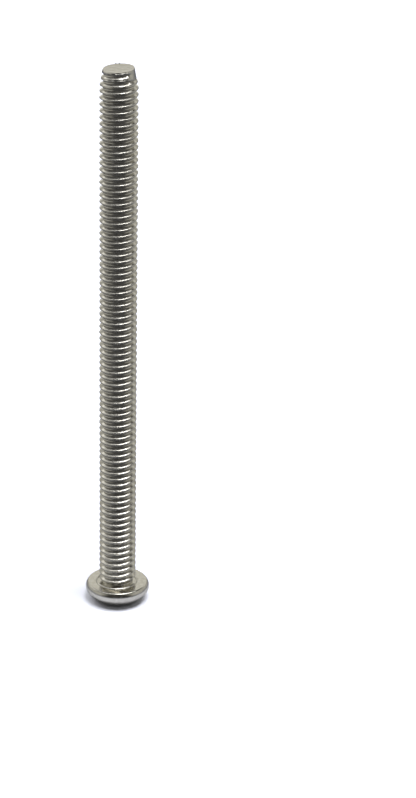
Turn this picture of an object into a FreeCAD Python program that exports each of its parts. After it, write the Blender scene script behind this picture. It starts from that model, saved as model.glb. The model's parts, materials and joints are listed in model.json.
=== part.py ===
"""A button head screw with a hexagon socket, threaded up to its head, as the one solid that it is.

Millimetres. Z is the screw's axis. The flat crown of the head is at z = 0, the bearing face under the
head is at z = head_height, and the point is at the top, so the screw stands on its head. The shank is
the plain cylinder that the thread's crests lie on.
"""
import FreeCAD, Part

import math
import os

import Sketcher

NODE = "button_head_screw"

# Driving dimensions
SIZES = {
    "thread_size": 6.0,  # nominal diameter of the thread
    "thread_pitch": 1.0,
    "thread_allowance": 0.2,  # how far the crests' diameter is under the nominal one
    "nominal_length": 85.0,  # from the bearing face to the end of the point
    "length_allowance": 0.9,  # how far the point ends short of the nominal length
    "point_taper_length": 2.9,  # the crests fall to the root's diameter over this length
    "head_diameter": 10.1,
    "head_height": 3.1,
    "crown_flat_diameter": 5.95,  # flat ring round the socket
    "rim_land": 0.1,  # upright band between the dome and the rounded rim
    "rim_round": 0.35,  # round between the rim and the bearing face
    "neck_round": 0.45,  # round between the bearing face and the shank
    "key_size": 4.0,  # across the flats of the key
    "key_clearance": 0.05,
    "socket_depth": 2.1,  # length of the flats that the key bears on
    "socket_mouth_diameter": 4.95,
    "socket_mouth_angle": 90.0,
    "socket_floor_angle": 120.0,
}

# Sizes that follow from them, as expressions of the sheet
CREST_DIAMETER = "(Sizes.thread_size - Sizes.thread_allowance)"
ROOT_DIAMETER = "(Sizes.thread_size - 1.22687 * Sizes.thread_pitch)"
SOCKET_WIDTH = "(Sizes.key_size + Sizes.key_clearance)"
SHANK_LENGTH = "(Sizes.nominal_length - Sizes.length_allowance)"

# A sketch's names for the points of an edge, and for its own origin and axes
START, END, CENTRE = range(1, 4)
X_AXIS, Y_AXIS = range(-1, -3, -1)
ORIGIN = (X_AXIS, START)

SAME_SIZE = 1e-6  # two lengths this close are the same
BOX_SLACK = 0.01  # how loosely a shape's box may fit it


def make_sheet(doc):
    sheet = doc.addObject("Spreadsheet::Sheet", "Sizes")
    for row, (name, value) in enumerate(SIZES.items(), start=1):
        sheet.set(f"A{row}", name)
        sheet.set(f"B{row}", str(value))
        sheet.setAlias(f"B{row}", name)
    return sheet


def make_sketch(body, name, plane):
    """An empty sketch on one of the body's own origin planes."""
    sketch = body.newObject("Sketcher::SketchObject", name)
    base = next(item for item in body.Origin.OriginFeatures if item.Role == plane)
    sketch.AttachmentSupport = [(base, "")]
    sketch.MapMode = "FlatFace"
    return sketch


def constrain(sketch, kind, *items, formula=None):
    """Adds a constraint, and for a dimension ties it to an expression of the sheet."""
    index = sketch.addConstraint(Sketcher.Constraint(kind, *items))
    if formula:
        sketch.setExpression(f"Constraints[{index}]", formula)


def add_line(sketch, start, end):
    return sketch.addGeometry(Part.LineSegment(FreeCAD.Vector(*start, 0), FreeCAD.Vector(*end, 0)), False)


def close_outline(sketch, edges):
    """Joins each edge's end to the next one's start."""
    for edge, following in zip(edges, edges[1:] + edges[:1]):
        constrain(sketch, "Coincident", edge, END, following, START)


def add_head(body):
    """The head without its socket: crown flat, dome that turns upright at the rim, bearing face."""
    crown = SIZES["crown_flat_diameter"] / 2
    rim = SIZES["head_diameter"] / 2
    height = SIZES["head_height"]
    dome_top = height - SIZES["rim_round"] - SIZES["rim_land"]
    dome_radius = ((rim - crown) ** 2 + dome_top**2) / (2 * (rim - crown))
    dome_centre = FreeCAD.Vector(rim - dome_radius, dome_top, 0)
    crown_angle = math.atan2(-dome_top, crown - dome_centre.x)

    sketch = make_sketch(body, "HeadProfile", "XZ_Plane")
    flat = add_line(sketch, (0, 0), (crown, 0))
    circle = Part.Circle(dome_centre, FreeCAD.Vector(0, 0, 1), dome_radius)
    dome = sketch.addGeometry(Part.ArcOfCircle(circle, crown_angle, 0), False)
    land = add_line(sketch, (rim, dome_top), (rim, height))
    bearing = add_line(sketch, (rim, height), (0, height))
    axis = add_line(sketch, (0, height), (0, 0))

    constrain(sketch, "Coincident", flat, END, dome, START)
    constrain(sketch, "Tangent", dome, END, land, START)
    constrain(sketch, "Coincident", land, END, bearing, START)
    constrain(sketch, "Coincident", bearing, END, axis, START)
    constrain(sketch, "Coincident", axis, END, flat, START)
    constrain(sketch, "Coincident", flat, START, *ORIGIN)
    constrain(sketch, "Horizontal", flat)
    constrain(sketch, "Vertical", land)
    constrain(sketch, "Horizontal", bearing)
    constrain(sketch, "Vertical", axis)
    constrain(sketch, "DistanceX", flat, START, flat, END, crown, formula="Sizes.crown_flat_diameter / 2")
    constrain(sketch, "DistanceX", bearing, END, bearing, START, rim, formula="Sizes.head_diameter / 2")
    constrain(sketch, "DistanceY", axis, END, axis, START, height, formula="Sizes.head_height")
    constrain(
        sketch, "DistanceY", land, START, land, END, height - dome_top, formula="Sizes.rim_land + Sizes.rim_round"
    )

    head = body.newObject("PartDesign::Revolution", "Head")
    head.Profile = sketch
    head.ReferenceAxis = (sketch, ["V_Axis"])
    head.Angle = 360
    return head


def add_shank(body):
    """The shank, padded from the bearing face up to the point."""
    sketch = make_sketch(body, "ShankSection", "XY_Plane")
    sketch.setExpression("AttachmentOffset.Base.z", "Sizes.head_height")
    radius = (SIZES["thread_size"] - SIZES["thread_allowance"]) / 2
    circle = sketch.addGeometry(Part.Circle(FreeCAD.Vector(), FreeCAD.Vector(0, 0, 1), radius), False)
    constrain(sketch, "Coincident", circle, CENTRE, *ORIGIN)
    constrain(sketch, "Radius", circle, radius, formula=f"{CREST_DIAMETER} / 2")

    shank = body.newObject("PartDesign::Pad", "Shank")
    shank.Profile = sketch
    shank.setExpression("Length", SHANK_LENGTH)
    return shank


def point_level(sheet):
    return sheet.head_height + sheet.nominal_length - sheet.length_allowance


def round_edge_name(shape, diameter, level):
    """The name of the shape's full circle of this diameter at this height."""
    for number, edge in enumerate(shape.Edges, start=1):
        if isinstance(edge.Curve, Part.Circle):
            misfit = max(abs(edge.Curve.Radius - diameter / 2), abs(edge.Curve.Center.z - level))
            if misfit < SAME_SIZE:
                return f"Edge{number}"
    raise ValueError(f"no circle of diameter {diameter} at height {level}")


def dress_edge(body, kind, name, base, edge, size_property, formula):
    """A fillet or chamfer on one edge of the last feature."""
    feature = body.newObject(kind, name)
    feature.Base = (base, [edge])
    feature.setExpression(size_property, formula)
    return feature


def add_edges(doc, body, sheet, shank):
    """The rounded rim, the round where the shank meets the head, and the tapered point."""
    doc.recompute()
    bearing_level = sheet.head_height
    crest_diameter = sheet.thread_size - sheet.thread_allowance
    edge = round_edge_name(shank.Shape, sheet.head_diameter, bearing_level)
    rim = dress_edge(body, "PartDesign::Fillet", "RimRound", shank, edge, "Radius", "Sizes.rim_round")

    doc.recompute()
    edge = round_edge_name(rim.Shape, crest_diameter, bearing_level)
    neck = dress_edge(body, "PartDesign::Fillet", "NeckRound", rim, edge, "Radius", "Sizes.neck_round")

    doc.recompute()
    edge = round_edge_name(neck.Shape, crest_diameter, point_level(sheet))
    taper_depth = f"({CREST_DIAMETER} - {ROOT_DIAMETER}) / 2"
    point = dress_edge(body, "PartDesign::Chamfer", "Point", neck, edge, "Size", "Sizes.point_taper_length")
    point.ChamferType = "Two distances"
    point.setExpression("Size2", taper_depth)
    return point


def add_socket(body):
    """The hexagon that the key bears in, cut up into the head from the crown."""
    sketch = make_sketch(body, "SocketSection", "XY_Plane")
    reach = (SIZES["key_size"] + SIZES["key_clearance"]) / math.sqrt(3)
    corners = [(reach * math.cos(math.radians(turn)), reach * math.sin(math.radians(turn))) for turn in range(0, 360, 60)]
    sides = [add_line(sketch, start, end) for start, end in zip(corners, corners[1:] + corners[:1])]
    ring = sketch.addGeometry(Part.Circle(FreeCAD.Vector(), FreeCAD.Vector(0, 0, 1), reach), True)
    close_outline(sketch, sides)
    constrain(sketch, "Coincident", ring, CENTRE, *ORIGIN)
    for side in sides:
        constrain(sketch, "PointOnObject", side, START, ring)
    for side in sides[1:]:
        constrain(sketch, "Equal", sides[0], side)
    constrain(sketch, "Horizontal", sides[1])
    constrain(sketch, "Radius", ring, reach, formula=f"{SOCKET_WIDTH} / sqrt(3)")

    socket = body.newObject("PartDesign::Pocket", "Socket")
    socket.Profile = sketch
    socket.Reversed = True
    socket.setExpression("Length", "Sizes.socket_depth")
    return socket


def add_cone_cut(body, name, level, radius, height, formulas):
    """A conical cut on the axis: its base at a height in the head, its tip above that."""
    sketch = make_sketch(body, f"{name}Profile", "XZ_Plane")
    base = add_line(sketch, (0, level), (radius, level))
    slope = add_line(sketch, (radius, level), (0, level + height))
    axis = add_line(sketch, (0, level + height), (0, level))
    close_outline(sketch, [base, slope, axis])
    constrain(sketch, "Horizontal", base)
    constrain(sketch, "PointOnObject", base, START, Y_AXIS)
    constrain(sketch, "Vertical", axis)
    if level:
        constrain(sketch, "DistanceY", *ORIGIN, base, START, level, formula=formulas["level"])
    else:
        constrain(sketch, "PointOnObject", base, START, X_AXIS)
    constrain(sketch, "DistanceX", base, START, base, END, radius, formula=formulas["radius"])
    constrain(sketch, "DistanceY", axis, END, axis, START, height, formula=formulas["height"])

    cut = body.newObject("PartDesign::Groove", name)
    cut.Profile = sketch
    cut.ReferenceAxis = (sketch, ["V_Axis"])
    cut.Angle = 360
    return cut


def add_socket_mouth(body):
    """The bevel that leads the key in. It cuts the corners off the hexagon at the crown."""
    radius = SIZES["socket_mouth_diameter"] / 2
    height = radius / math.tan(math.radians(SIZES["socket_mouth_angle"] / 2))
    formulas = {
        "radius": "Sizes.socket_mouth_diameter / 2",
        "height": "Sizes.socket_mouth_diameter / 2 / tan(Sizes.socket_mouth_angle / 2 * 1 deg)",
    }
    return add_cone_cut(body, "SocketMouth", 0, radius, height, formulas)


def add_socket_floor(body):
    """The conical floor that the punch leaves past the flats."""
    radius = (SIZES["key_size"] + SIZES["key_clearance"]) / 2
    height = radius / math.tan(math.radians(SIZES["socket_floor_angle"] / 2))
    formulas = {
        "level": "Sizes.socket_depth",
        "radius": f"{SOCKET_WIDTH} / 2",
        "height": f"{SOCKET_WIDTH} / 2 / tan(Sizes.socket_floor_angle / 2 * 1 deg)",
    }
    return add_cone_cut(body, "SocketFloor", SIZES["socket_depth"], radius, height, formulas)


def check_cuts(features):
    """Each feature in the row has to take material off the one before it."""
    for before, after in zip(features, features[1:]):
        if after.Shape.Volume > before.Shape.Volume - SAME_SIZE:
            raise RuntimeError(f"{after.Name} cuts nothing")


def check_document(doc, body, sheet):
    for item in doc.Objects:
        if "Invalid" in item.State or "Error" in item.State:
            raise RuntimeError(f"{item.Name} is {item.State}")
    if body.Shape.isNull() or not body.Shape.isValid() or len(body.Shape.Solids) != 1:
        raise RuntimeError(f"{body.Label} isn't one sound solid")
    box = body.Shape.BoundBox
    if max(abs(box.ZMin), abs(box.ZMax - point_level(sheet))) > BOX_SLACK:
        raise RuntimeError(f"{body.Label} reaches from {box.ZMin} to {box.ZMax}")


def main():
    os.makedirs("parts", exist_ok=True)
    doc = FreeCAD.newDocument(NODE)
    sheet = make_sheet(doc)
    doc.recompute()

    body = doc.addObject("PartDesign::Body", NODE)
    body.Label = NODE
    add_head(body)
    shank = add_shank(body)
    point = add_edges(doc, body, sheet, shank)
    cuts = [point, add_socket(body), add_socket_mouth(body), add_socket_floor(body)]
    body.Tip = cuts[-1]
    doc.recompute()

    check_cuts(cuts)
    check_document(doc, body, sheet)
    body.Shape.exportStep(f"parts/{NODE}.step")
    print(f"{NODE}: {body.Shape.Volume:.1f} mm3, {len(body.Shape.Faces)} faces, {body.Shape.BoundBox}")


main()
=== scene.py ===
import json
import math

import bpy
from mathutils import Matrix, Vector


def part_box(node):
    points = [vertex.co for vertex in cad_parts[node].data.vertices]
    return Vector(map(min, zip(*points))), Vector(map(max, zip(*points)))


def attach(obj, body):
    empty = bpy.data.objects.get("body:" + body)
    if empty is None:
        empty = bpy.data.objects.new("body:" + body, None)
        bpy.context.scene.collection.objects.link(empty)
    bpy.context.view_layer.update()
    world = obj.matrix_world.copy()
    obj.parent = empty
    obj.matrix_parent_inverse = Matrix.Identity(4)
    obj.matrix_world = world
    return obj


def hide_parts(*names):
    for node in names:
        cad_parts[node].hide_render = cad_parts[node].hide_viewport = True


# A stainless M6 button head screw that stands on its crown on a white floor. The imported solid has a
# plain shank. The piece built here has the rolled thread, its unfinished ends, and the marks of
# heading, turning and rolling. Lengths are in millimetres until a mesh is made, and +Z runs from the
# head to the point. Azimuths are in degrees from the front (-Y) towards +X.

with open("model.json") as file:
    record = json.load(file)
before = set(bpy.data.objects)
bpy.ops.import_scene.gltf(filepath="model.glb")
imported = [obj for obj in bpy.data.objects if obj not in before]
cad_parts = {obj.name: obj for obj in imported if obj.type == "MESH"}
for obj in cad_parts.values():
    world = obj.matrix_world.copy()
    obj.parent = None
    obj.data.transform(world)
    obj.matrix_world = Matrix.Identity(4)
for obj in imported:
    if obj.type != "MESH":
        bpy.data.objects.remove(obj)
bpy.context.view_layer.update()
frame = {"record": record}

NODE = "button_head_screw"
MM = 0.001
mounts = {mount["name"]: mount for mount in frame["record"]["mounts"]}
low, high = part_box(NODE)

# Driving dimensions that the frame gives.
LENGTH = high.z / MM
HEAD_RADIUS = (high.x - low.x) / 2 / MM
CREST_RADIUS = mounts["shank"]["dims"]["r_mm"]
BEARING_HEIGHT = mounts["bearing_face"]["pos_m"][2] / MM

# Thread, M6 x 1 right-hand, near the low end of its tolerances.
PITCH = 1.0
ROOT_RADIUS = 2.34
PITCH_RADIUS = 2.61
CREST_OVER_ROOT = 0.06
SLOPE = math.tan(math.radians(30))
ROUND_TURN = math.radians(60)
FIRST_CREST_DROP = 1.380
# Turns of the mesh above the first crest, and spare ones below it, beyond as many as the length under
# the head has pitches. What reaches past the ends is cut off.
TURNS_ABOVE = 3
TURNS_SPARE = 1
CREST_STEPS = 3
ROOT_STEPS = 3
ROWS_PER_TURN = 2 * CREST_STEPS + 1 + 2 * ROOT_STEPS + 1
THREAD_COLUMNS = 64

# Over the last turns the blank narrows, so the crests stay unfilled: flat-topped, with a lap in the
# middle of the flat that is closed on the left of the point.
POINT_TAPER = 2.7
POINT_CREST = 2.43
POINT_SLOPE = (CREST_RADIUS - POINT_CREST) / POINT_TAPER
POINT_SINK = 0.17
FLAT_LIMIT = 0.19
FLAT_ABOVE = 0.65
FLAT_BELOW = 1.1
LAP_FULL_FLAT = 0.15
LAP_DEPTH = 0.10
LAP_HALF = 0.049
LAP_OPENING = 0.03
LAP_OFFSET = -0.03
LAP_CLOSED = (-130.0, -110.0, -30.0, 0.0)
LAP_CLOSED_DROP = (0.8, 0.5)

# End face: its soft edge, its dish as (distance inside the edge, share of the depth), and its tilt
# towards +X and +Y, which reaches a little way down.
END_EDGE_RADIUS = 2.475
END_EDGE_ROUND = 0.16
END_EDGE_STEPS = 8
END_DISH = 0.05
END_DISH_PROFILE = ((0.2, 0.3), (0.7, 0.8), (1.4, 1.0))
END_TILT = (0.05, 0.03)
END_TILT_REACH = 0.6
# The envelope that the thread is cut to: its clearance round the crests, how far it reaches into the
# head, and the height over which it narrows to a small step, in radius and height, at the end's edge.
ENVELOPE_CLEARANCE = 0.3
ENVELOPE_FOOT = 0.6
ENVELOPE_SHOULDER = 0.5
ENVELOPE_STEP = (0.03, 0.02)
# The end's edge is pushed out over the last groove at the back, and where the lap is closed: heights
# below the end, radius, and the azimuths on both sides from which the back is filled.
END_FILL_DROP = (0.15, 0.5)
END_FILL_RADIUS = 2.40
END_FILL_START = (100.0, 125.0)
# Burrs on the far edge, as (x, y, height); the foot and the waist are shares of the height.
BURRS = ((-0.5, 2.34, 0.15), (0.05, 2.36, 0.16))
BURR_FOOT = 0.65
BURR_WAIST = (0.45, 0.7)
BURR_COLUMNS = 8
# Where the last groove is smeared over, on the right of the point: azimuths, depth, and the radius
# at the end with its growth downwards.
SMEAR_SPAN = (28.0, 48.0, 130.0, 165.0)
SMEAR_DROP = (1.35, 1.75)
SMEAR_RADIUS = 2.31
SMEAR_SLOPE = 0.18

# The first crest above the head fades out of a trough round the neck, with part of a ridge below it.
NECK_RADIUS = 2.42
NECK_FADE = (3.66, 3.84)
RIDGE_HEIGHT = 3.54
RIDGE_RADIUS = 2.88
RIDGE_HALF = 0.13
RIDGE_SPAN = (-14.0, 14.0, 52.0, 84.0)

# Head. Narrow rings beside its rounds, and two more on the bearing face, keep the flats' shading flat.
CROWN_ROUND = 0.8
CROWN_STEPS = 6
DOME_RADIUS = 5.2
DOME_STEPS = 8
SHOULDER_ROUND = 1.17
SHOULDER_FOOT = -33.0
SHOULDER_TOP = 40.0
SHOULDER_STEPS = 14
EDGE_ROUND = 0.28
EDGE_STEPS = 6
NARROW_RING = 0.03
BEARING_RINGS = (3.8, 3.3)
HEAD_COLUMNS = 144
# Rolling pushes up a bead round the neck, a little off the axis.
BEAD_CENTRE = (-0.13, 0.0)
BEAD_RADIUS = 3.33
BEAD_LIFT = 0.01
BEAD_SINK = 0.04
BEAD_FOOT_ROUND = 0.12
BEAD_FACE_ROUND = 0.55
BEAD_FACE = (52.0, 66.0)
BEAD_TOP_ROUND = 0.1
BEAD_BACK = 170.0
BEAD_BACK_LEAN = 0.03
BEAD_FACE_STEPS = 4
BEAD_TOP_STEPS = 6

# Socket, for a 4 mm key.
SOCKET_FLATS = 4.05
SOCKET_DEPTH = 2.1
SOCKET_FLOOR_ANGLE = math.radians(60)
MOUTH_RADIUS = 2.475

# How far the pieces that are joined or cut reach past the faces, and the floor's cone into the hexagon.
OVERLAP = 0.5
CONE_OVERLAP = 0.4
# An edge is shown sharp where its two faces turn by more than this.
SHARP_ANGLE = math.radians(40)

# Steel. Scales are per millimetre and heights in millimetres.
STEEL_DARK = (0.63, 0.61, 0.55, 1)
STEEL_LIGHT = (0.73, 0.71, 0.65, 1)
EDGE_TINT = (0.75, 0.75, 0.75, 1)
ROUGHNESS = (0.16, 0.25)
MOTTLE_SCALE = 1.6
MOTTLE_DETAIL = 4.0
MOTTLE_HEIGHT = 0.003
MOTTLE_COLOUR_RANGE = (0.3, 0.7)
MOTTLE_ROUGH_RANGE = (0.25, 0.75)
RING_SCALE = 7.0
RING_DETAIL = 3.0
RING_DRIFT = 0.12
RING_HEIGHT = 0.0015
SPOKE_COUNT = 26.0
SPOKE_SCALE = 1.0
SPOKE_DETAIL = 2.0
SPOKE_HEIGHT = 0.007
# The bearing face, where the radial marks are: margins round its height, and the radius they start at.
UNDER_HEAD_MARGIN = (0.02, 0.06)
UNDER_HEAD_START = (3.3, 3.5)
UNDER_HEAD_SMOOTHER = 0.05
# The least squared radius, so that nothing is divided by zero on the axis.
AXIS_GUARD = 1e-6

# Camera, fitted to the thread's crests and the head in the photograph. Its angles are in radians.
IMAGE_SIZE = (416, 798)
FOCAL_PIXELS = 2349.15
CAMERA_PLACE = (0.0, -332.917, 179.939)
CAMERA_PITCH = 0.411058
CAMERA_YAW = 0.041766
CAMERA_ROLL = 0.019815
SENSOR = 36.0
CLIP_START = 10.0

# Softboxes, as (name, azimuth, elevation, width and height in degrees, brightness).
LAMP_DISTANCE = 2200.0
LAMP_AIM = 45.0
LAMPS = (
    ("overhead", 40.0, 83.0, 18.0, 10.0, 7.5),
    ("key_right", 48.0, 71.0, 34.0, 10.0, 7.6),
    ("key_front", -32.0, 73.0, 24.0, 9.0, 3.6),
    ("key_far_right", 105.0, 62.0, 20.0, 16.0, 1.8),
    ("key_left", -78.0, 62.0, 22.0, 16.0, 1.3),
    ("fill_left", -120.0, 44.0, 38.0, 30.0, 0.6),
)
# The room: white for the camera, and tinted for the metal. It glows overall, at the sides, at the
# backdrop, in a band at the backdrop's two sides, and along the backdrop's foot. How far up and round
# each goes is given as the components of a direction.
WHITE = (1, 1, 1, 1)
ROOM_TINT = (1.0, 0.985, 0.91, 1)
ROOM_GLOW = 0.045
SIDE_GLOW = 0.42
SIDE_FRONT = (0.45, 0.8)
BACKDROP_GLOW = 0.3
BACKDROP_TOP = (0.5, 0.75)
BACKDROP_SIDE = (0.3, 0.8)
BACKDROP_WIDTH = (0.2, 0.42)
BAND_GLOW = 0.5
BAND_FOOT = (0.44, 0.5)
BAND_TOP = (0.56, 0.66)
HORIZON_GLOW = 0.6
HORIZON_TOP = (0.12, 0.28)
# Floor: half its side, and its diffuse colour, as the camera sees it, and as the metal sees it in
# front, behind and near. For the metal the colour is painted: painted shade in front and a painted
# bright pool near the screw, which stand in for the room's light and shade in its reflections.
FLOOR_HALF = 900
FLOOR_SEEN = 2.18
FLOOR_FRONT = 0.2
FLOOR_BACK = 0.45
FLOOR_FADE = (-45.0, 10.0)
FLOOR_NEAR = 1.25
FLOOR_NEAR_REACH = (9.0, 20.0)
FLOOR_TINT = (0.955, 0.98, 1.09)
# How much the floor and the room's glow light the floor, so that the shadow stays deep.
FLOOR_BOUNCE = 0.3
FLOOR_ROOM_SHARE = 0.4


def add_mesh(name, points, faces):
    """A mesh object from points in millimetres."""
    mesh = bpy.data.meshes.new(name)
    mesh.from_pydata([Vector(point) * MM for point in points], [], faces)
    mesh.validate()
    thing = bpy.data.objects.new(name, mesh)
    bpy.context.scene.collection.objects.link(thing)
    return thing


def turned(name, outline, columns, centre=(0.0, 0.0)):
    """A closed solid of revolution. The outline's (radius, height) points start and end on the axis."""
    points = []
    rings = []
    for radius, height in outline:
        if radius == 0:
            rings.append([len(points)] * columns)
            points.append((centre[0], centre[1], height))
        else:
            rings.append(list(range(len(points), len(points) + columns)))
            for column in range(columns):
                angle = math.tau * column / columns
                x = centre[0] + radius * math.cos(angle)
                y = centre[1] + radius * math.sin(angle)
                points.append((x, y, height))
    faces = []
    for below, above in zip(rings, rings[1:]):
        for column in range(columns):
            after = (column + 1) % columns
            corners = [below[column], below[after], above[after], above[column]]
            faces.append(list(dict.fromkeys(corners)))
    return add_mesh(name, points, faces)


def arc(centre, radius, start, end, steps):
    """Points along an arc in the (radius, height) plane; angles in degrees from outwards."""
    points = []
    for step in range(steps + 1):
        angle = math.radians(start + (end - start) * step / steps)
        points.append((centre[0] + radius * math.cos(angle), centre[1] + radius * math.sin(angle)))
    return points


def combine(target, tool, operation):
    """Applies a boolean of the tool to the target and removes the tool."""
    modifier = target.modifiers.new(operation.lower(), "BOOLEAN")
    modifier.object = tool
    modifier.operation = operation
    modifier.solver = "MANIFOLD"
    graph = bpy.context.evaluated_depsgraph_get()
    mesh = bpy.data.meshes.new_from_object(target.evaluated_get(graph))
    target.modifiers.clear()
    target.data = mesh
    bpy.data.objects.remove(tool)


def smooth_step(value, start, end):
    """0 at start and 1 at end, with a smooth rise between."""
    share = min(1.0, max(0.0, (value - start) / (end - start)))
    return share * share * (3 - 2 * share)


def span(azimuth, limits):
    """1 between the two middle azimuths, fading to 0 at the outer ones."""
    return smooth_step(azimuth, limits[0], limits[1]) * (1 - smooth_step(azimuth, limits[2], limits[3]))


def point_sink(height):
    """How far the roots sink at a height near the point."""
    return POINT_SINK * min(1.0, max(0.0, 1 - (LENGTH - height) / POINT_TAPER))


def crest_limit(height):
    """The radius that the crests reach at a height."""
    drop = LENGTH - height
    limit = min(CREST_RADIUS - point_sink(height), POINT_CREST + POINT_SLOPE * drop)
    return max(limit, ROOT_RADIUS - point_sink(height) + CREST_OVER_ROOT)


def thread_section(crest_height, azimuth):
    """One pitch round a crest, as (offset, radius) from root to root, as full as the blank allows."""
    crest_half = PITCH / 4 - (CREST_RADIUS - PITCH_RADIUS) * SLOPE
    root_half = PITCH / 4 - (PITCH_RADIUS - ROOT_RADIUS) * SLOPE
    crest_round = crest_half / SLOPE
    root_round = root_half / SLOPE
    missing = CREST_RADIUS - point_sink(crest_height) - crest_limit(crest_height)
    flat = min(FLAT_LIMIT, max(0.0, missing * SLOPE))
    lap = min(1.0, flat / LAP_FULL_FLAT)
    near_end = smooth_step(crest_height, LENGTH - LAP_CLOSED_DROP[0], LENGTH - LAP_CLOSED_DROP[1])
    depth = LAP_DEPTH * lap * (1 - span(azimuth, LAP_CLOSED) * near_end)
    crest = []
    for step in range(-CREST_STEPS, CREST_STEPS + 1):
        side = -1 if step < 0 else 1
        tilt = ROUND_TURN * abs(step) / CREST_STEPS
        half_flat = flat * (FLAT_BELOW if step < 0 else FLAT_ABOVE)
        offset = half_flat + crest_round * math.sin(tilt)
        drop = crest_round * (1 - math.cos(tilt))
        if step == 0:
            offset = 0.0
            drop = depth
        elif abs(step) == 1:
            offset = half_flat * (1 - lap) + LAP_HALF + LAP_OPENING * lap
            drop = drop * (1 - lap)
        offset = side * offset
        if abs(step) < 2:
            offset += LAP_OFFSET * lap
        crest.append((offset, crest_limit(crest_height + offset) - drop))
    root = []
    for step in range(-ROOT_STEPS, ROOT_STEPS + 1):
        tilt = ROUND_TURN * abs(step) / ROOT_STEPS
        side = 1 if step < 0 else -1
        offset = side * (PITCH / 2 - root_round * math.sin(tilt))
        radius = ROOT_RADIUS - point_sink(crest_height + offset) + root_round * (1 - math.cos(tilt))
        root.append((offset, radius))
    return root[ROOT_STEPS:] + crest + root[:ROOT_STEPS]


def formed_radius(height, radius, crest_height, azimuth):
    """The radius where rolling leaves the thread unfinished: at the neck and at the point."""
    full = smooth_step(crest_height, NECK_FADE[0], NECK_FADE[1])
    radius = NECK_RADIUS + (radius - NECK_RADIUS) * full
    ridge = abs(height - RIDGE_HEIGHT - azimuth / 360 * PITCH) / RIDGE_HALF
    if ridge < 1:
        swell = (1 - ridge ** 2) ** 0.5 * span(azimuth, RIDGE_SPAN)
        radius = max(radius, NECK_RADIUS + (RIDGE_RADIUS - NECK_RADIUS) * swell)
    drop = LENGTH - height
    smear = 1 - smooth_step(drop, SMEAR_DROP[0], SMEAR_DROP[1])
    smear *= span(azimuth, SMEAR_SPAN)
    if smear > 0:
        filled = min(crest_limit(height), SMEAR_RADIUS + SMEAR_SLOPE * drop)
        radius += (filled - radius) * smear
    far_side = smooth_step(abs(azimuth), END_FILL_START[0], END_FILL_START[1])
    swell = 1 - smooth_step(drop, END_FILL_DROP[0], END_FILL_DROP[1])
    swell *= max(far_side, span(azimuth, LAP_CLOSED))
    return max(radius, radius + (END_FILL_RADIUS - radius) * swell)


def thread_points(start, turns):
    """The points of a helical grid, one row of columns after another."""
    grid = {}
    for turn in range(turns):
        for column in range(THREAD_COLUMNS):
            share = column / THREAD_COLUMNS
            angle = math.tau * share
            azimuth = (360 * share + 270) % 360 - 180
            crest_height = start + (turn + share) * PITCH
            for step, (offset, radius) in enumerate(thread_section(crest_height, azimuth)):
                height = crest_height + offset
                width = formed_radius(height, radius, crest_height, azimuth)
                place = (width * math.cos(angle), width * math.sin(angle), height)
                grid[turn * ROWS_PER_TURN + step, column] = place
    rows = range(turns * ROWS_PER_TURN)
    return [grid[row, column] for row in rows for column in range(THREAD_COLUMNS)]


def thread_faces(rows):
    """The grid's faces. Its last column meets the first one of the turn above."""
    last = THREAD_COLUMNS - 1
    faces = []
    for row in range(rows - 1):
        here = row * THREAD_COLUMNS
        over = here + THREAD_COLUMNS
        for column in range(last):
            faces.append((here + column, here + column + 1, over + column + 1, over + column))
        if row + ROWS_PER_TURN < rows - 1:
            ahead = (row + ROWS_PER_TURN) * THREAD_COLUMNS
            faces.append((here + last, ahead, ahead + THREAD_COLUMNS, over + last))
    return faces


def fan(rim, middle, flip):
    """Triangles from the corners of a rim to a point in its middle."""
    faces = []
    for index, corner in enumerate(rim):
        following = rim[(index + 1) % len(rim)]
        faces.append((following, corner, middle) if flip else (corner, following, middle))
    return faces


def threaded_rod():
    """The thread as one helical grid that reaches past both ends, closed by fans."""
    first_crest = LENGTH - FIRST_CREST_DROP - PITCH / 2
    turns = math.ceil((LENGTH - BEARING_HEIGHT) / PITCH) + TURNS_ABOVE + TURNS_SPARE
    start = first_crest - (turns - TURNS_ABOVE) * PITCH
    rows = turns * ROWS_PER_TURN
    points = thread_points(start, turns)
    faces = thread_faces(rows)
    foot_seam = [row * THREAD_COLUMNS for row in range(ROWS_PER_TURN, 0, -1)]
    faces += fan(list(range(THREAD_COLUMNS)) + foot_seam, len(points), True)
    points.append((0.0, 0.0, start - PITCH))
    top = (rows - 1) * THREAD_COLUMNS
    top_seam = [(rows - row) * THREAD_COLUMNS - 1 for row in range(1, ROWS_PER_TURN + 1)]
    faces += fan(list(range(top, top + THREAD_COLUMNS)) + top_seam, len(points), False)
    points.append((0.0, 0.0, start + (turns + 1) * PITCH))
    return add_mesh("thread", points, faces)


def point_envelope():
    """What the end leaves of the thread: a softly rounded edge and a slightly dished, tilted face."""
    reach = CREST_RADIUS + ENVELOPE_CLEARANCE
    bottom = BEARING_HEIGHT - ENVELOPE_FOOT
    flat = END_EDGE_RADIUS - END_EDGE_ROUND
    edge = LENGTH - END_EDGE_ROUND
    outline = [
        (0.0, bottom),
        (reach, bottom),
        (reach, edge - ENVELOPE_SHOULDER),
        (END_EDGE_RADIUS + ENVELOPE_STEP[0], edge - ENVELOPE_STEP[1]),
    ]
    outline += arc((flat, edge), END_EDGE_ROUND, 0, 90, END_EDGE_STEPS)
    outline += [(flat - inside, LENGTH - END_DISH * share) for inside, share in END_DISH_PROFILE]
    outline.append((0.0, LENGTH - END_DISH))
    envelope = turned("point", outline, HEAD_COLUMNS)
    for vertex in envelope.data.vertices:
        if vertex.co.z > (LENGTH - END_TILT_REACH) * MM:
            vertex.co.z += END_TILT[0] * vertex.co.x + END_TILT[1] * vertex.co.y
    return envelope


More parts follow.
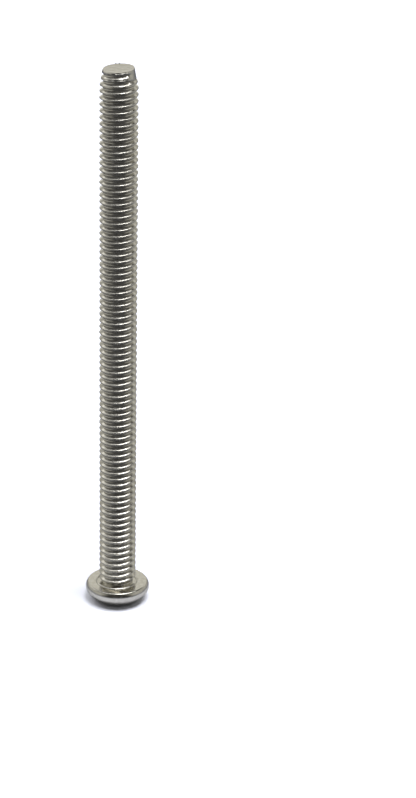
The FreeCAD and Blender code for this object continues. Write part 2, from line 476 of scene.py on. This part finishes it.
def burr(x, y, rise):
    """A tiny burr on the edge of the end face."""
    face = LENGTH + END_TILT[0] * x + END_TILT[1] * y
    foot = face - END_EDGE_ROUND
    waist = (rise * BURR_WAIST[0], face + rise * BURR_WAIST[1])
    outline = [(0.0, foot), (rise * BURR_FOOT, foot), waist, (0.0, face + rise)]
    return turned("burr", outline, BURR_COLUMNS, (x, y))


def head_blank():
    """The headed blank: crown, dome, shoulder, edge and bearing face."""
    top = math.radians(SHOULDER_TOP)
    foot = math.radians(SHOULDER_FOOT)
    upright = BEARING_HEIGHT - EDGE_ROUND * (1 - math.sin(top)) - SHOULDER_ROUND * math.sin(top)
    shoulder_centre = (HEAD_RADIUS - SHOULDER_ROUND, upright)
    edge_centre = (
        shoulder_centre[0] + (SHOULDER_ROUND - EDGE_ROUND) * math.cos(top),
        shoulder_centre[1] + (SHOULDER_ROUND - EDGE_ROUND) * math.sin(top),
    )
    dome_centre = (
        shoulder_centre[0] - (DOME_RADIUS - SHOULDER_ROUND) * math.cos(foot),
        shoulder_centre[1] - (DOME_RADIUS - SHOULDER_ROUND) * math.sin(foot),
    )
    rise = dome_centre[1] - CROWN_ROUND
    reach = math.sqrt((DOME_RADIUS - CROWN_ROUND) ** 2 - rise ** 2)
    crown_centre = (dome_centre[0] + reach, CROWN_ROUND)
    start = math.degrees(math.atan2(-rise, reach))
    outline = [(0.0, 0.0), (crown_centre[0] - NARROW_RING, 0.0)]
    outline += arc(crown_centre, CROWN_ROUND, -90, start, CROWN_STEPS)[:-1]
    outline += arc(dome_centre, DOME_RADIUS, start, SHOULDER_FOOT, DOME_STEPS)[:-1]
    outline += arc(shoulder_centre, SHOULDER_ROUND, SHOULDER_FOOT, SHOULDER_TOP, SHOULDER_STEPS)[:-1]
    outline += arc(edge_centre, EDGE_ROUND, SHOULDER_TOP, 90, EDGE_STEPS)
    for radius in (edge_centre[0] - NARROW_RING, BEARING_RINGS[0], BEARING_RINGS[1], 0.0):
        outline.append((radius, BEARING_HEIGHT))
    return turned("head", outline, HEAD_COLUMNS)


def neck_bead():
    """The low bead that stands on the bearing face round the neck, with a sloped outer face."""
    start = math.radians(BEAD_FACE[0])
    end = math.radians(BEAD_FACE[1])
    foot = (BEAD_RADIUS - BEAD_FOOT_ROUND, BEARING_HEIGHT + BEAD_LIFT)
    face = (
        foot[0] + (BEAD_FOOT_ROUND - BEAD_FACE_ROUND) * math.cos(start),
        foot[1] + (BEAD_FOOT_ROUND - BEAD_FACE_ROUND) * math.sin(start),
    )
    top = (
        face[0] + (BEAD_FACE_ROUND - BEAD_TOP_ROUND) * math.cos(end),
        face[1] + (BEAD_FACE_ROUND - BEAD_TOP_ROUND) * math.sin(end),
    )
    inside = BEARING_HEIGHT - BEAD_SINK
    outline = [(0.0, BEARING_HEIGHT - OVERLAP), (BEAD_RADIUS, BEARING_HEIGHT - OVERLAP)]
    outline += arc(foot, BEAD_FOOT_ROUND, 0, BEAD_FACE[0], BEAD_FACE_STEPS)[:-1]
    outline += arc(face, BEAD_FACE_ROUND, BEAD_FACE[0], BEAD_FACE[1], BEAD_FACE_STEPS)[:-1]
    outline += arc(top, BEAD_TOP_ROUND, BEAD_FACE[1], BEAD_BACK, BEAD_TOP_STEPS)
    outline += [(top[0] - BEAD_TOP_ROUND - BEAD_BACK_LEAN, inside), (0.0, inside)]
    return turned("bead", outline, HEAD_COLUMNS, BEAD_CENTRE)


def socket_tool():
    """The hexagon with its conical floor and bevelled mouth."""
    corner = SOCKET_FLATS / math.sqrt(3)
    half = SOCKET_FLATS / 2
    points = []
    for height in (-OVERLAP, SOCKET_DEPTH):
        for side in range(6):
            angle = math.radians(60 * side)
            points.append((corner * math.cos(angle), corner * math.sin(angle), height))
    faces = [tuple(reversed(range(6))), tuple(range(6, 12))]
    faces += [(side, (side + 1) % 6, (side + 1) % 6 + 6, side + 6) for side in range(6)]
    hexagon = add_mesh("hexagon", points, faces)
    inside = SOCKET_DEPTH - CONE_OVERLAP
    tip = SOCKET_DEPTH + half / math.tan(SOCKET_FLOOR_ANGLE)
    cone = [(0.0, inside), (half, inside), (half, SOCKET_DEPTH), (0.0, tip)]
    combine(hexagon, turned("socket_floor", cone, HEAD_COLUMNS), "UNION")
    mouth = [(0.0, -OVERLAP), (MOUTH_RADIUS + OVERLAP, -OVERLAP), (0.0, MOUTH_RADIUS)]
    combine(hexagon, turned("socket_mouth", mouth, HEAD_COLUMNS), "UNION")
    return hexagon


def build_screw():
    """The whole screw as one closed mesh, with sharp edges only where its faces turn sharply."""
    screw = threaded_rod()
    combine(screw, point_envelope(), "INTERSECT")
    for place in BURRS:
        combine(screw, burr(*place), "UNION")
    combine(screw, head_blank(), "UNION")
    combine(screw, neck_bead(), "UNION")
    combine(screw, socket_tool(), "DIFFERENCE")
    screw.name = "screw"
    screw.data.name = "screw"
    screw.data.polygons.foreach_set("use_smooth", [True] * len(screw.data.polygons))
    screw.data.set_sharp_from_angle(angle=SHARP_ANGLE)
    return screw


def put(tree, value, socket):
    """Sets a socket to a plain number, or links another socket to it."""
    if isinstance(value, (int, float)):
        socket.default_value = value
    else:
        tree.links.new(value, socket)


def math_node(tree, operation, *values):
    """A math node on sockets or plain numbers; returns its output."""
    node = tree.nodes.new("ShaderNodeMath")
    node.operation = operation
    for index, value in enumerate(values):
        put(tree, value, node.inputs[index])
    return node.outputs[0]


def product(tree, first, *others):
    """The product of sockets or plain numbers."""
    for other in others:
        first = math_node(tree, "MULTIPLY", first, other)
    return first


def total(tree, first, *others):
    """The sum of sockets or plain numbers."""
    for other in others:
        first = math_node(tree, "ADD", first, other)
    return first


def range_node(tree, value, start, end, low_value, high_value):
    """A smooth step from one value to another as the socket passes from start to end."""
    node = tree.nodes.new("ShaderNodeMapRange")
    node.interpolation_type = "SMOOTHSTEP"
    node.inputs["From Min"].default_value = start
    node.inputs["From Max"].default_value = end
    node.inputs["To Min"].default_value = low_value
    node.inputs["To Max"].default_value = high_value
    tree.links.new(value, node.inputs["Value"])
    return node.outputs["Result"]


def mix_node(tree, factor, first, second):
    """A mix of two sockets or numbers; returns its output."""
    node = tree.nodes.new("ShaderNodeMix")
    tree.links.new(factor, node.inputs["Factor"])
    put(tree, first, node.inputs["A"])
    put(tree, second, node.inputs["B"])
    return node.outputs["Result"]


def colour_mix_node(tree, factor, first, second):
    """A mix of two colours; returns its output."""
    node = tree.nodes.new("ShaderNodeMix")
    node.data_type = "RGBA"
    node.inputs["A"].default_value = first
    node.inputs["B"].default_value = second
    tree.links.new(factor, node.inputs["Factor"])
    return node.outputs["Result"]


def noise_node(tree, parts, scale, detail):
    """Noise over a vector of three sockets or numbers; returns its 0 to 1 output."""
    vector = tree.nodes.new("ShaderNodeCombineXYZ")
    for index, value in enumerate(parts):
        put(tree, value, vector.inputs[index])
    node = tree.nodes.new("ShaderNodeTexNoise")
    node.inputs["Scale"].default_value = scale
    node.inputs["Detail"].default_value = detail
    tree.links.new(vector.outputs[0], node.inputs["Vector"])
    return node.outputs["Fac"]


def coordinates(tree, kind):
    """A coordinate vector and its three components."""
    vector = tree.nodes.new("ShaderNodeTexCoord").outputs[kind]
    split = tree.nodes.new("ShaderNodeSeparateXYZ")
    tree.links.new(vector, split.inputs[0])
    return vector, split.outputs["X"], split.outputs["Y"], split.outputs["Z"]


def ray_kinds(tree):
    """Sockets that are 1 for a ray from the camera, and 1 for one that has left the floor, else 0."""
    path = tree.nodes.new("ShaderNodeLightPath")
    from_floor = math_node(tree, "MINIMUM", path.outputs["Diffuse Depth"], 1.0)
    return path.outputs["Is Camera Ray"], from_floor


def steel():
    """Stainless steel with faint turning rings, radial marks under the head and a slight mottle."""
    material = bpy.data.materials.new("stainless_steel")
    material.use_nodes = True
    tree = material.node_tree
    shader = tree.nodes["Principled BSDF"]
    shader.inputs["Metallic"].default_value = 1.0
    shader.inputs["Specular Tint"].default_value = EDGE_TINT
    parts = coordinates(tree, "Object")[1:]
    x, y, z = [math_node(tree, "DIVIDE", part, MM) for part in parts]
    square = total(tree, product(tree, x, x), product(tree, y, y))
    radius = math_node(tree, "SQRT", math_node(tree, "MAXIMUM", square, AXIS_GUARD))
    cosine = math_node(tree, "DIVIDE", x, radius)
    sine = math_node(tree, "DIVIDE", y, radius)

    mottle = noise_node(tree, (x, y, z), MOTTLE_SCALE, MOTTLE_DETAIL)
    around = total(tree, z, product(tree, cosine, RING_DRIFT))
    across = total(tree, radius, product(tree, sine, RING_DRIFT))
    rings = noise_node(tree, (across, around, 0.0), RING_SCALE, RING_DETAIL)
    turn = (product(tree, cosine, SPOKE_COUNT), product(tree, sine, SPOKE_COUNT), radius)
    spokes = noise_node(tree, turn, SPOKE_SCALE, SPOKE_DETAIL)
    near, far = UNDER_HEAD_MARGIN
    above = range_node(tree, z, BEARING_HEIGHT - far, BEARING_HEIGHT - near, 0.0, 1.0)
    below = range_node(tree, z, BEARING_HEIGHT + near, BEARING_HEIGHT + far, 1.0, 0.0)
    outside = range_node(tree, radius, *UNDER_HEAD_START, 0.0, 1.0)
    under_head = product(tree, above, below, outside)

    light = range_node(tree, mottle, *MOTTLE_COLOUR_RANGE, 0.0, 1.0)
    tree.links.new(colour_mix_node(tree, light, STEEL_DARK, STEEL_LIGHT), shader.inputs["Base Color"])
    roughness = range_node(tree, mottle, *MOTTLE_ROUGH_RANGE, *ROUGHNESS)
    smoother = product(tree, under_head, UNDER_HEAD_SMOOTHER)
    tree.links.new(math_node(tree, "SUBTRACT", roughness, smoother), shader.inputs["Roughness"])

    streaks = product(tree, spokes, under_head, SPOKE_HEIGHT)
    grain = product(tree, mottle, MOTTLE_HEIGHT)
    relief = total(tree, product(tree, rings, RING_HEIGHT), streaks, grain)
    bump = tree.nodes.new("ShaderNodeBump")
    bump.inputs["Strength"].default_value = 1.0
    bump.inputs["Distance"].default_value = MM
    tree.links.new(relief, bump.inputs["Height"])
    tree.links.new(bump.outputs["Normal"], shader.inputs["Normal"])
    return material


def add_camera():
    """The camera that took the photograph."""
    data = bpy.data.cameras.new("camera")
    data.sensor_width = SENSOR
    data.lens = FOCAL_PIXELS * SENSOR / max(IMAGE_SIZE)
    data.clip_start = CLIP_START * MM
    camera = bpy.data.objects.new("camera", data)
    bpy.context.scene.collection.objects.link(camera)
    turn = Matrix.Rotation(-CAMERA_YAW, 4, "Z")
    tilt = Matrix.Rotation(math.pi / 2 - CAMERA_PITCH, 4, "X")
    roll = Matrix.Rotation(CAMERA_ROLL, 4, "Z")
    camera.matrix_world = Matrix.Translation(Vector(CAMERA_PLACE) * MM) @ turn @ tilt @ roll
    bpy.context.scene.camera = camera


def direction(azimuth, elevation):
    """The unit vector towards an azimuth and elevation in degrees."""
    turn = math.radians(azimuth)
    rise = math.radians(elevation)
    return Vector((math.sin(turn) * math.cos(rise), -math.cos(turn) * math.cos(rise), math.sin(rise)))


def add_lamp(name, azimuth, elevation, width, height, brightness):
    """A softbox of a given brightness, seen from the screw at a given angle and angular size."""
    data = bpy.data.lights.new(name, "AREA")
    data.shape = "RECTANGLE"
    data.size = 2 * LAMP_DISTANCE * math.tan(math.radians(width / 2)) * MM
    data.size_y = 2 * LAMP_DISTANCE * math.tan(math.radians(height / 2)) * MM
    data.energy = brightness * math.pi * data.size * data.size_y
    lamp = bpy.data.objects.new(name, data)
    towards = direction(azimuth, elevation)
    lamp.location = (towards * LAMP_DISTANCE + Vector((0, 0, LAMP_AIM))) * MM
    lamp.rotation_euler = (-towards).to_track_quat("-Z", "Y").to_euler()
    lamp.visible_camera = False
    bpy.context.scene.collection.objects.link(lamp)


def add_floor():
    """A white floor that keeps the shadow. The metal sees it dimmer, with painted shade in front and a
    painted bright pool near the screw.
    """
    signs = ((-1, -1), (1, -1), (1, 1), (-1, 1))
    corners = [(across * FLOOR_HALF, back * FLOOR_HALF, 0) for across, back in signs]
    floor = add_mesh("floor", corners, [(0, 1, 2, 3)])
    material = bpy.data.materials.new("floor")
    material.use_nodes = True
    tree = material.node_tree
    tree.nodes.remove(tree.nodes["Principled BSDF"])
    place, _, y, _ = coordinates(tree, "Object")
    # What the metal sees: painted shade in front, fading to a dimmer floor behind.
    far = range_node(tree, y, FLOOR_FADE[0] * MM, FLOOR_FADE[1] * MM, FLOOR_FRONT, FLOOR_BACK)
    reach = tree.nodes.new("ShaderNodeVectorMath")
    reach.operation = "LENGTH"
    tree.links.new(place, reach.inputs[0])
    distance = reach.outputs["Value"]
    # A painted bright pool on the floor near the screw, seen only in the metal's reflections.
    near = range_node(tree, distance, FLOOR_NEAR_REACH[0] * MM, FLOOR_NEAR_REACH[1] * MM, 0.0, 1.0)
    reflected = mix_node(tree, near, FLOOR_NEAR, far)
    seen, from_floor = ray_kinds(tree)
    # Light bounced off the floor sees a darker colour: painted shade that keeps the shadow deep.
    reflected = mix_node(tree, from_floor, reflected, FLOOR_BOUNCE)
    brightness = mix_node(tree, seen, reflected, FLOOR_SEEN)
    colour = tree.nodes.new("ShaderNodeCombineColor")
    for index, tint in enumerate(FLOOR_TINT):
        tree.links.new(product(tree, brightness, tint), colour.inputs[index])
    diffuse = tree.nodes.new("ShaderNodeBsdfDiffuse")
    tree.links.new(colour.outputs[0], diffuse.inputs["Color"])
    tree.links.new(diffuse.outputs[0], tree.nodes["Material Output"].inputs["Surface"])
    floor.data.materials.append(material)


def add_world():
    """The room: dim at the sides, brighter at the backdrop, dark in front; white for the camera."""
    world = bpy.data.worlds.new("world")
    world.use_nodes = True
    tree = world.node_tree
    background = tree.nodes["Background"]
    _, x, y, z = coordinates(tree, "Generated")
    far = range_node(tree, y, *BACKDROP_SIDE, 0.0, 1.0)
    middle = range_node(tree, math_node(tree, "ABSOLUTE", x), *BACKDROP_WIDTH, 1.0, 0.0)
    aside = math_node(tree, "SUBTRACT", 1.0, middle)
    lower = range_node(tree, z, *BACKDROP_TOP, 1.0, 0.0)
    sides = range_node(tree, product(tree, y, -1.0), *SIDE_FRONT, SIDE_GLOW, 0.0)
    backdrop = product(tree, far, BACKDROP_GLOW, middle)
    horizon = range_node(tree, z, *HORIZON_TOP, HORIZON_GLOW, 0.0)
    over_foot = range_node(tree, z, *BAND_FOOT, 0.0, BAND_GLOW)
    under_top = range_node(tree, z, *BAND_TOP, 1.0, 0.0)
    band = product(tree, over_foot, under_top, aside, far)
    walls = product(tree, total(tree, backdrop, sides), lower)
    glow = total(tree, walls, product(tree, horizon, middle, far), band, ROOM_GLOW)
    seen, from_floor = ray_kinds(tree)
    glow = mix_node(tree, from_floor, glow, product(tree, glow, FLOOR_ROOM_SHARE))
    tree.links.new(mix_node(tree, seen, glow, 1.0), background.inputs["Strength"])
    tree.links.new(colour_mix_node(tree, seen, ROOM_TINT, WHITE), background.inputs["Color"])
    bpy.context.scene.world = world


screw = build_screw()
screw.data.materials.clear()
screw.data.materials.append(steel())
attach(screw, "root")
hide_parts(NODE)
add_floor()
for lamp in LAMPS:
    add_lamp(*lamp)
add_world()
add_camera()
bpy.context.scene.view_settings.view_transform = "Standard"
